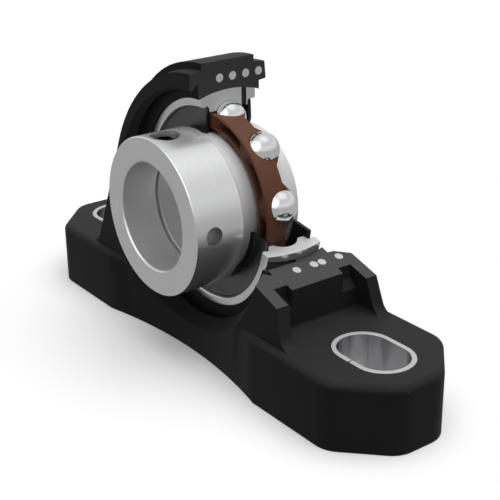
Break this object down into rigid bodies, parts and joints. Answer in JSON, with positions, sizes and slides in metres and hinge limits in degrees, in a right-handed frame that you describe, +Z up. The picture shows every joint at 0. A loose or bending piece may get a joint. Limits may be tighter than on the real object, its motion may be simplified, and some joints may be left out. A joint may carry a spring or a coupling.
{
  "type": "pillow block bearing",
  "caption": "Pillow block bearing with a plastic housing on slotted feet, a self-aligning ball bearing and an eccentric locking collar, shown with a quarter cut away.",
  "frame": {"origin": "on the underside of the feet, straight below the middle of the ball row", "axes": "+X from foot to foot toward the cut-away side, +Y along the shaft away from the locking collar, +Z up"},
  "size_m": [0.1576, 0.0464, 0.082],
  "materials": {
    "housing": "fine moulded grain",
    "sleeve": "drawn",
    "wire": "cut ends",
    "ring": "ground",
    "collar": "turned",
    "ball": "polished",
    "cage": "moulded",
    "seal_plate": "satin",
    "seal_rubber": "moulded",
    "screw": "blackened"
  },
  "bodies": {
    "housing_body": {"housing": "housing", "bolt_sleeve_left": "sleeve", "bolt_sleeve_right": "sleeve", "wire_turn_1": "wire", "wire_turn_2": "wire", "wire_turn_3": "wire", "wire_turn_4": "wire"},
    "outer_ring_body": {"outer_ring": "ring", "front_seal_plate": "seal_plate", "front_seal_rubber": "seal_rubber", "rear_seal": "seal_rubber"},
    "inner_ring_body": {"inner_ring": "ring"},
    "cage_body": {"cage": "cage"},
    "collar_body": {"locking_collar": "collar"},
    "set_screw_body": {"set_screw": "screw"},
    "ball_1_body": {"ball_1": "ball"},
    "ball_2_body": {"ball_2": "ball"},
    "ball_3_body": {"ball_3": "ball"},
    "ball_4_body": {"ball_4": "ball"},
    "ball_5_body": {"ball_5": "ball"},
    "ball_6_body": {"ball_6": "ball"},
    "ball_7_body": {"ball_7": "ball"},
    "ball_8_body": {"ball_8": "ball"},
    "ball_9_body": {"ball_9": "ball"}
  },
  "joints": [
    {"name": "alignment_tilt", "type": "hinge", "parent": "housing_body", "child": "outer_ring_body", "pos_m": [0, 0, 0.0429], "axis": [1, 0, 0], "range_deg": [-3, 3]},
    {"name": "shaft_spin", "type": "hinge", "parent": "outer_ring_body", "child": "inner_ring_body", "pos_m": [0, 0, 0.0429], "axis": [0, 1, 0], "continuous": true},
    {"name": "cage_orbit", "type": "hinge", "parent": "outer_ring_body", "child": "cage_body", "pos_m": [0, 0, 0.0429], "axis": [0, 1, 0], "continuous": true},
    {"name": "collar_turn", "type": "hinge", "parent": "inner_ring_body", "child": "collar_body", "pos_m": [0, 0, 0.0429], "axis": [0, 1, 0], "range_deg": [-16, 16]},
    {"name": "set_screw_travel", "type": "slide", "parent": "collar_body", "child": "set_screw_body", "axis": [0, 0, -1], "range_m": [-0.003, 0.0004]},
    {"name": "ball_1_roll", "type": "hinge", "parent": "cage_body", "child": "ball_1_body", "pos_m": [0.01494, 0, 0.06039], "axis": [0, 1, 0], "continuous": true},
    {"name": "ball_2_roll", "type": "hinge", "parent": "cage_body", "child": "ball_2_body", "pos_m": [0.0002, 0, 0.0659], "axis": [0, 1, 0], "continuous": true},
    {"name": "ball_3_roll", "type": "hinge", "parent": "cage_body", "child": "ball_3_body", "pos_m": [-0.01463, 0, 0.06065], "axis": [0, 1, 0], "continuous": true},
    {"name": "ball_4_roll", "type": "hinge", "parent": "cage_body", "child": "ball_4_body", "pos_m": [-0.02261, 0, 0.04709], "axis": [0, 1, 0], "continuous": true},
    {"name": "ball_5_roll", "type": "hinge", "parent": "cage_body", "child": "ball_5_body", "pos_m": [-0.02002, 0, 0.03157], "axis": [0, 1, 0], "continuous": true},
    {"name": "ball_6_roll", "type": "hinge", "parent": "cage_body", "child": "ball_6_body", "pos_m": [-0.00805, 0, 0.02136], "axis": [0, 1, 0], "continuous": true},
    {"name": "ball_7_roll", "type": "hinge", "parent": "cage_body", "child": "ball_7_body", "pos_m": [0.00768, 0, 0.02122], "axis": [0, 1, 0], "continuous": true},
    {"name": "ball_8_roll", "type": "hinge", "parent": "cage_body", "child": "ball_8_body", "pos_m": [0.01982, 0, 0.03123], "axis": [0, 1, 0], "continuous": true},
    {"name": "ball_9_roll", "type": "hinge", "parent": "cage_body", "child": "ball_9_body", "pos_m": [0.02269, 0, 0.0467], "axis": [0, 1, 0], "continuous": true}
  ],
  "couplings": [
    {"joint": "cage_orbit", "follows": "shaft_spin", "ratio": 0.39647},
    {"joint": "ball_1_roll", "follows": "shaft_spin", "ratio": -2.3112},
    {"joint": "ball_2_roll", "follows": "shaft_spin", "ratio": -2.3112},
    {"joint": "ball_3_roll", "follows": "shaft_spin", "ratio": -2.3112},
    {"joint": "ball_4_roll", "follows": "shaft_spin", "ratio": -2.3112},
    {"joint": "ball_5_roll", "follows": "shaft_spin", "ratio": -2.3112},
    {"joint": "ball_6_roll", "follows": "shaft_spin", "ratio": -2.3112},
    {"joint": "ball_7_roll", "follows": "shaft_spin", "ratio": -2.3112},
    {"joint": "ball_8_roll", "follows": "shaft_spin", "ratio": -2.3112},
    {"joint": "ball_9_roll", "follows": "shaft_spin", "ratio": -2.3112}
  ]
}
